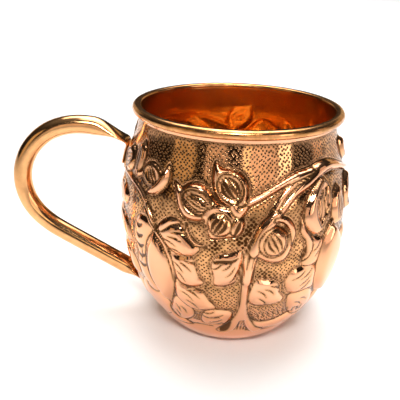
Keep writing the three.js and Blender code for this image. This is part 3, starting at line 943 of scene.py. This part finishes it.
def polished_copper(name, colour, roughness, streak, tarnish):
    """Smooth drawn copper with faint polishing marks and a mottled tarnish."""
    f = Finish(name)
    place = f.place()
    tone = f.blend(f.noise(place, 60.0).ease(0.35, 0.75) * 0.4, colour, GOLDEN_COPPER)
    mottle = f.noise(place, 330.0, 4.0).ease(0.36, 0.66)
    tone = f.blend(mottle * tarnish, tone, BROWNED_COPPER)
    marks = f.noise(place, 700.0)
    rough = roughness + marks * 0.05 + mottle * (tarnish * 0.12)
    return f.metal(tone, rough, f.bump(f.noise(place, streak), 0.00006))


def braze_metal():
    """Yellower filler metal, grainy and burnt in places."""
    f = Finish("braze_metal")
    marks = f.noise(f.place(), 500.0, 3.0)
    colour = f.blend(marks.ease(0.45, 0.7) * 0.6, BRAZE, BURNT_BRAZE)
    return f.metal(colour, 0.3 + marks * 0.2, f.bump(marks, 0.0001))


# ---- Pieces that follow a path ----
def ended_tree(name):
    """A new geometry tree whose first input and only output are a geometry."""
    tree = bpy.data.node_groups.new(name, "GeometryNodeTree")
    tree.interface.new_socket("Geometry", in_out="OUTPUT", socket_type="NodeSocketGeometry")
    tree.interface.new_socket("Geometry", in_out="INPUT", socket_type="NodeSocketGeometry")
    return tree


def grown(holder, tree, sizes, name):
    """Runs a geometry tree on an object with its sizes set, and keeps a plain mesh of it."""
    growth = holder.modifiers.new("growth", "NODES")
    growth.node_group = tree
    for socket in tree.interface.items_tree:
        if socket.in_out == "INPUT" and socket.name in sizes:
            growth[socket.identifier] = sizes[socket.name]
    bpy.context.view_layer.update()
    seen = holder.evaluated_get(bpy.context.evaluated_depsgraph_get())
    mesh = bpy.data.meshes.new_from_object(seen)
    holder.modifiers.remove(growth)
    bpy.data.objects.remove(holder)
    mesh.name = name
    mesh.polygons.foreach_set("use_smooth", [True] * len(mesh.polygons))
    made = bpy.data.objects.new(name, mesh)
    bpy.context.scene.collection.objects.link(made)
    return made


def finish_tree(g, geometry, material):
    """Ends a geometry tree: real geometry with its material on."""
    real = g.node("GeometryNodeRealizeInstances", {}, {"Geometry": geometry})["Geometry"]
    dressed = g.node("GeometryNodeSetMaterial", {}, {"Geometry": real, "Material": material})
    g.node("NodeGroupOutput", {}, {"Geometry": dressed["Geometry"]})


RING_RADIUS = 0.002  # of the sweep's own ring, before the line's values size it


def sweep_tree(material):
    """Sweeps an oval along a line. The line's own values say how round, wide and dished."""
    tree = ended_tree("flattened_tube")
    for name in ("Tube diameter", "Tongue width", "Tongue thickness"):
        tree.interface.new_socket(name, in_out="INPUT", socket_type="NodeSocketFloat")
    tree.interface.new_socket("Sides", in_out="INPUT", socket_type="NodeSocketInt")
    g = Graph(tree)
    given = g.node("NodeGroupInput")

    def along(name, kind="FLOAT"):
        read = g.node("GeometryNodeInputNamedAttribute", {"data_type": kind}, {"Name": name})
        return read["Attribute"]

    def vectors(operation, *parts):
        out = "Value" if operation == "DOT_PRODUCT" else "Vector"
        feeds = dict(enumerate(parts))
        return g.node("ShaderNodeVectorMath", {"operation": operation}, feeds)[out]

    def scaled(vector, by):
        feeds = {"Vector": vector, "Scale": by}
        return g.node("ShaderNodeVectorMath", {"operation": "SCALE"}, feeds)["Vector"]

    line = g.node("GeometryNodeMeshToCurve", {}, {"Mesh": given["Geometry"]})["Curve"]
    ring = g.node(
        "GeometryNodeCurvePrimitiveCircle",
        {"mode": "RADIUS"},
        {"Resolution": given["Sides"], "Radius": RING_RADIUS},
    )["Curve"]
    feeds = {"Curve": line, "Profile Curve": ring, "Fill Caps": True}
    skin = g.node("GeometryNodeCurveToMesh", {}, feeds)["Mesh"]
    centre, heading = along("centre", "FLOAT_VECTOR"), along("heading", "FLOAT_VECTOR")
    roundness, tip, dish = along("roundness"), along("tip"), along("dish")
    here = g.node("GeometryNodeInputPosition")["Position"]
    spoke = scaled(vectors("SUBTRACT", here, centre), 1 / RING_RADIUS)
    across = (0.0, 1.0, 0.0)
    outward = vectors("CROSS_PRODUCT", heading, across)
    sideways = vectors("DOT_PRODUCT", spoke, across)
    lifted = vectors("DOT_PRODUCT", spoke, outward)
    flat = 1 - roundness
    tube = given["Tube diameter"] * roundness
    half_wide = (tube + given["Tongue width"] * flat) * tip * 0.5
    half_thick = (tube + given["Tongue thickness"] * flat) * 0.5
    bowed = sideways * sideways * flat * dish
    moved = vectors("ADD", centre, scaled(across, sideways * half_wide))
    moved = vectors("ADD", moved, scaled(outward, lifted * half_thick))
    moved = vectors("ADD", moved, scaled((1.0, 0.0, 0.0), bowed * tip * tip))
    placed = g.node("GeometryNodeSetPosition", {}, {"Geometry": skin, "Position": moved})
    finish_tree(g, placed["Geometry"], material)
    return tree


# sizes of the handle, the rim and the braze, in millimetres
TUBE_DIAMETER, TONGUE_WIDTH, TONGUE_THICKNESS = 7.7, 11.0, 1.35
TONGUE_OFFSET = 1.0  # of a tongue's middle from the wall's outline
UPPER_JOINT, LOWER_JOINT = 76.2, 15.6  # heights where the tube leaves the wall
UPPER_TONGUE, LOWER_TONGUE = 10.0, 12.0  # how far they run down the wall
UPPER_TURN, LOWER_TURN = 15, 8  # lengths over which the tube goes from flat to round
HANDLE_STEPS, HANDLE_SIDES = 260, 48


def handle_line():
    """The tube's middle line, as distance from the axis and height, and the way gone along it."""

    def tongue(height, length):
        travel = travel_at(height) - np.linspace(0, length, 5)
        radius, up, normal = wall_at(travel)
        return np.stack((radius, up), -1) + normal * TONGUE_OFFSET

    upper = tongue(UPPER_JOINT, UPPER_TONGUE)[::-1]
    lower = tongue(LOWER_JOINT, LOWER_TONGUE)
    loop = [(47.0, 77.9), (49.8, 79.3), (53.2, 80.6), (57.4, 81.8), (62.3, 82.3), (67.6, 82.0),
        (73, 80.7), (78, 78.3), (82.4, 74.7), (86, 70.2), (88.4, 65), (89.5, 59.6), (89.3, 54.3),
        (88, 49.4), (85.9, 45.3), (83.2, 41.8), (80, 38.9), (76.9, 36.6), (73.2, 34.4),
        (69.2, 32.2), (64.4, 29.6), (57.9, 26.1), (50, 21.8), (43.6, 18.3)]
    line = curve_through(np.vstack((upper, loop, lower)), False, 8)
    gone = np.concatenate(([0], np.cumsum(np.hypot(*np.diff(line, axis=0).T))))
    even = np.linspace(0, gone[-1], HANDLE_STEPS)
    line = np.stack((np.interp(even, gone, line[:, 0]), np.interp(even, gone, line[:, 1])), -1)
    for _ in range(6):  # eases the joins between tongues and loop
        line[1:-1] = (line[:-2] + 2 * line[1:-1] + line[2:]) / 4
    return line, even


def tube_handle(material):
    """The bent tube with a flattened tongue at each end."""
    line, gone = handle_line()
    total = gone[-1]
    heading = np.gradient(line, axis=0)
    heading /= np.linalg.norm(heading, axis=1, keepdims=True)
    upper_end = ease((gone - UPPER_TONGUE - 1) / UPPER_TURN)
    roundness = np.minimum(upper_end, ease((total - gone - LOWER_TONGUE - 1) / LOWER_TURN))
    from_tip = np.minimum(gone, total - gone) / (TONGUE_WIDTH / 2)
    tip = np.where(from_tip >= 1, 1, np.sqrt(np.clip(1 - (1 - from_tip) ** 2, 0.02, 1)))
    mesh = bpy.data.meshes.new("handle_line")
    places = [(-d * MM, 0, z * MM) for d, z in line]
    mesh.from_pydata(places, [(k, k + 1) for k in range(len(places) - 1)], [])
    for name, values in (("centre", places), ("heading", [(-h[0], 0, h[1]) for h in heading])):
        made = mesh.attributes.new(name, "FLOAT_VECTOR", "POINT")
        made.data.foreach_set("vector", np.array(values, np.float32).ravel())
    half = TONGUE_WIDTH / 2
    point_values(mesh, "roundness", roundness)
    point_values(mesh, "tip", tip)
    point_values(mesh, "dish", half * half / (2 * line[:, 0]) * MM)
    holder = bpy.data.objects.new("handle_line", mesh)
    bpy.context.scene.collection.objects.link(holder)
    sizes = {
        "Tube diameter": TUBE_DIAMETER * MM,
        "Tongue width": TONGUE_WIDTH * MM,
        "Tongue thickness": TONGUE_THICKNESS * MM,
        "Sides": HANDLE_SIDES,
    }
    return grown(holder, sweep_tree(material), sizes, "handle")


RIM_RADIUS, ROLL_RADIUS, ROLL_HEIGHT = 40.2, 1.8, 92.2
ROLL_SHEET = 0.85
ROLL_FROM, ROLL_TO, ROLL_POINTS = 184, -94, 44  # degrees round the section, over the top
RIM_STEPS = 240
LIP_SQUARENESS = 0.55  # of the corner on the drinking side; 1 leaves it round


def rim_tree(material):
    """Sweeps the line it is given round the mug's axis."""
    tree = ended_tree("rolled_rim")
    tree.interface.new_socket("Radius", in_out="INPUT", socket_type="NodeSocketFloat")
    tree.interface.new_socket("Height", in_out="INPUT", socket_type="NodeSocketFloat")
    tree.interface.new_socket("Steps", in_out="INPUT", socket_type="NodeSocketInt")
    g = Graph(tree)
    given = g.node("NodeGroupInput")
    section = g.node("GeometryNodeMeshToCurve", {}, {"Mesh": given["Geometry"]})["Curve"]
    circle = g.node(
        "GeometryNodeCurvePrimitiveCircle",
        {"mode": "RADIUS"},
        {"Resolution": given["Steps"], "Radius": given["Radius"]},
    )["Curve"]
    lift = g.node("ShaderNodeCombineXYZ", {}, {"Z": given["Height"]})["Vector"]
    raised = g.node("GeometryNodeSetPosition", {}, {"Geometry": circle, "Offset": lift})["Geometry"]
    feeds = {"Curve": raised, "Profile Curve": section}
    finish_tree(g, g.node("GeometryNodeCurveToMesh", {}, feeds)["Mesh"], material)
    return tree


def rolled_rim(material):
    """The lip's rolled sheet: a hollow section whose edge stops just short of the neck."""
    outer = np.radians(np.linspace(ROLL_FROM, ROLL_TO, ROLL_POINTS))

    def rolled(angle, size):
        along, rise = math.cos(angle), math.sin(angle)
        if along < 0 < rise:  # the wall runs straight up into it here
            along, rise = -abs(along) ** LIP_SQUARENESS, rise**LIP_SQUARENESS
        return along * size, rise * size

    section = [rolled(a, ROLL_RADIUS) for a in outer]
    section += [rolled(a, ROLL_RADIUS - ROLL_SHEET) for a in outer[::-1]]
    mesh = bpy.data.meshes.new("rim_section")
    edges = [(k, (k + 1) % len(section)) for k in range(len(section))]
    mesh.from_pydata([(x * MM, -y * MM, 0) for x, y in section], edges, [])
    holder = bpy.data.objects.new("rim_section", mesh)
    bpy.context.scene.collection.objects.link(holder)
    sizes = {"Radius": RIM_RADIUS * MM, "Height": ROLL_HEIGHT * MM, "Steps": RIM_STEPS}
    return grown(holder, rim_tree(material), sizes, "rolled_rim")


def facing_out(piece):
    """Turns a closed piece's faces outwards if its volume comes out negative."""
    shell = bmesh.new()
    shell.from_mesh(piece.data)
    bmesh.ops.recalc_face_normals(shell, faces=shell.faces)
    if shell.calc_volume(signed=True) < 0:
        bmesh.ops.reverse_faces(shell, faces=shell.faces)
    shell.to_mesh(piece.data)
    shell.free()
    return piece


FILLET_AROUND, FILLET_STEPS = 64, 14
FILLET_HIGH = 0.75  # over its own edge
FILLET_EDGE, FILLET_ROOT = -0.35, -0.75  # from the wall's outline
FILLET_PAST_SIDE, FILLET_PAST_END = 1.0, 1.2  # how far it shows round the tongue


def braze_fillet(name, joint, length, material):
    """A low bead of braze round and under a tongue, following the wall."""
    wide, tall = TONGUE_WIDTH / 2 + FILLET_PAST_SIDE, length / 2 + FILLET_PAST_END
    middle = travel_at(joint) - length / 2
    angles = [c / FILLET_AROUND * 2 * math.pi for c in range(FILLET_AROUND)]
    spots = []  # millimetres across, along the wall, and out from it
    for k in range(FILLET_STEPS + 1):
        share = math.sin(k / FILLET_STEPS * math.pi / 2)
        lift = FILLET_HIGH * math.sqrt(max(0.0, 1 - share**4)) + FILLET_EDGE
        for angle in angles:
            ragged = 1 + 0.05 * math.sin(5 * angle + 1) + 0.03 * math.sin(11 * angle)
            across = math.cos(angle) * wide * share * ragged
            spots.append((across, middle + math.sin(angle) * tall * share * ragged, lift))
    top = len(spots)
    for angle in angles:
        across, along = math.cos(angle) * wide * 0.9, math.sin(angle) * tall * 0.9
        spots.append((across, middle + along, FILLET_ROOT))
    bottom = len(spots)
    spots.append((0, middle, FILLET_ROOT))
    places = []
    for across, travel, lift in spots:
        travel = np.array(float(travel))
        turn = math.degrees(across / float(wall_at(travel)[0])) + HANDLE_TURN
        places.append(wall_places(np.array(turn), travel, lift))
    faces = []
    for k in range(FILLET_STEPS):
        for c in range(FILLET_AROUND):
            a, b = (k * FILLET_AROUND + x for x in (c, (c + 1) % FILLET_AROUND))
            if k == 0:
                faces.append((a, a + FILLET_AROUND, b + FILLET_AROUND))
            else:
                faces.append((a, a + FILLET_AROUND, b + FILLET_AROUND, b))
    last = FILLET_STEPS * FILLET_AROUND
    for c in range(FILLET_AROUND):
        n = (c + 1) % FILLET_AROUND
        faces.append((last + c, top + c, top + n, last + n))
        faces.append((top + c, bottom, top + n))
    made = new_object(name, places, faces)
    shell = bmesh.new()
    shell.from_mesh(made.data)
    bmesh.ops.remove_doubles(shell, verts=shell.verts, dist=1e-6)
    shell.to_mesh(made.data)
    shell.free()
    made.data.polygons.foreach_set("use_smooth", [True] * len(made.data.polygons))
    made.data.materials.append(material)
    return facing_out(made)


# ---- The mug ----
copper = polished_copper("drawn_copper", HANDLE_COPPER, 0.11, 160.0, 0.2)
rim_copper = polished_copper("rim_copper", RIM_COPPER, 0.16, 240.0, 0.65)
braze = braze_metal()

body = facing_out(mug_body())
body.data.materials.append(chased_copper())
rim = facing_out(rolled_rim(rim_copper))
handle = facing_out(tube_handle(copper))
upper = braze_fillet("upper_fillet", UPPER_JOINT, UPPER_TONGUE, braze)
lower = braze_fillet("lower_fillet", LOWER_JOINT, LOWER_TONGUE, braze)

for piece, node, slot in (
    (body, "body_shell", "copper_body"),
    (rim, None, "copper_body"),
    (handle, "handle_tube", "copper_handle"),
    (upper, "upper_braze", "braze"),
    (lower, "lower_braze", "braze"),
):
    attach(piece, "root")
    if node:
        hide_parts(node)

wire = Finish("rim_wire_steel")
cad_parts["rim_wire"].data.materials.clear()
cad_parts["rim_wire"].data.materials.append(wire.metal(STEEL, 0.4))

# ---- Studio ----
FLOOR_LEVEL = -0.0004  # just under the mug
PAPER_WHITE = (0.93, 0.925, 0.92, 1)
corners = [(x, y, FLOOR_LEVEL) for x, y in ((-6, -3), (6, -3), (6, 9), (-6, 9))]
floor_mesh = bpy.data.meshes.new("floor")
floor_mesh.from_pydata(corners, [], [(0, 1, 2, 3)])
floor = bpy.data.objects.new("floor", floor_mesh)
bpy.context.scene.collection.objects.link(floor)
paper = Finish("white_paper")
shade = paper.node("ShaderNodeBsdfDiffuse", {}, {"Color": PAPER_WHITE})
paper.node("ShaderNodeOutputMaterial", {}, {"Surface": shade["BSDF"]})
floor.data.materials.append(paper.material)


def soft_box(name, place, aim, size, power, colour=(1, 1, 1), spread=180):
    """A rectangular lamp that looks at a point, its spread in degrees."""
    lamp = bpy.data.lights.new(name, "AREA")
    lamp.spread = math.radians(spread)
    lamp.shape, lamp.size, lamp.size_y = "RECTANGLE", size[0], size[1]
    lamp.energy, lamp.color = power, colour
    made = bpy.data.objects.new(name, lamp)
    made.location = place
    made.rotation_euler = (Vector(aim) - Vector(place)).to_track_quat("-Z", "Y").to_euler()
    bpy.context.scene.collection.objects.link(made)


soft_box("overhead", (0, 0, 0.62), (0, 0, 0), (0.40, 0.56), 0.315, spread=54)
soft_box("front_fill", (0, -0.50, 0.52), (0, 0, 0), (0.60, 0.10), 0.27, spread=34)
soft_box("back_wash", (0, 1.25, 1.7), (0, 1.05, 0), (2.2, 1.9), 24, spread=90)


STRIP_HIGH, STRIP_AWAY = 0.55, 1.25  # metres


def strip(name, bearing, width, brightness, colour):
    """An upright soft strip at a bearing round from the front, both in degrees."""
    a = math.radians(bearing)
    place = (STRIP_AWAY * math.sin(a), -STRIP_AWAY * math.cos(a), STRIP_HIGH / 2)
    across = 2 * STRIP_AWAY * math.tan(math.radians(width / 2))
    power = brightness * math.pi * across * STRIP_HIGH
    soft_box(name, place, (0, 0, place[2]), (across, STRIP_HIGH), power, colour)


strip("strip_white", 52, 17, 2.9, (1, 0.95, 0.90))
strip("strip_right", 29.5, 25, 1.30, (1, 0.84, 0.78))
strip("strip_cream", 12.5, 9, 1.8, (1, 0.92, 0.72))
strip("strip_left", -20, 20, 0.86, (1, 0.84, 0.74))
strip("strip_gold", -57, 24, 0.72, (1, 0.82, 0.50))
strip("side_right", 98, 13, 0.8, (1, 0.84, 0.76))
strip("side_gold", 145, 46, 0.6, (1, 0.78, 0.42))
strip("side_left", -142, 30, 0.55, (1, 0.8, 0.5))

world = bpy.data.worlds.new("studio")
world.use_nodes = True
air = Graph(world.node_tree)
direction = air.node("ShaderNodeTexCoord")["Generated"]
rise = air.node("ShaderNodeSeparateXYZ", {}, {"Vector": direction})["Z"]
room = [  # what the metal mirrors between the lamps, from the horizon to overhead
    (0.0, (0.03, 0.026, 0.02)),
    (0.1, (0.015, 0.013, 0.01)),
    (0.55, (0.04, 0.036, 0.03)),
    (0.9, (0.20, 0.20, 0.20)),
]
tone = air.node("ShaderNodeValToRGB", {"stops": room}, {"Fac": rise})["Color"]
sky = air.node("ShaderNodeBackground", {}, {"Color": tone, "Strength": 1.0})
air.node("ShaderNodeOutputWorld", {}, {"Surface": sky["Background"]})
bpy.context.scene.world = world
bpy.context.scene.view_settings.view_transform = "Standard"

# ---- Camera ----
CAMERA_PLACE = (0, -0.2549, 0.1531)
PITCH, YAW, ROLL = 21.646, -3.130, 1.950  # degrees down, round and over
LENS, FILM_WIDTH = 58.5, 36  # mm
lens = bpy.data.cameras.new("camera")
lens.lens, lens.sensor_width = LENS, FILM_WIDTH
camera = bpy.data.objects.new("camera", lens)
pitch, yaw, roll = (math.radians(a) for a in (PITCH, YAW, ROLL))
ahead = math.cos(pitch)
forward = Vector((math.sin(yaw) * ahead, math.cos(yaw) * ahead, -math.sin(pitch)))
right = Vector((math.cos(yaw), -math.sin(yaw), 0))
up = right.cross(forward)
right, up = (
    right * math.cos(roll) + up * math.sin(roll),
    up * math.cos(roll) - right * math.sin(roll),
)
turned = Matrix((right, up, -forward)).transposed().to_4x4()
camera.matrix_world = Matrix.Translation(CAMERA_PLACE) @ turned
bpy.context.scene.collection.objects.link(camera)
bpy.context.scene.camera = camera
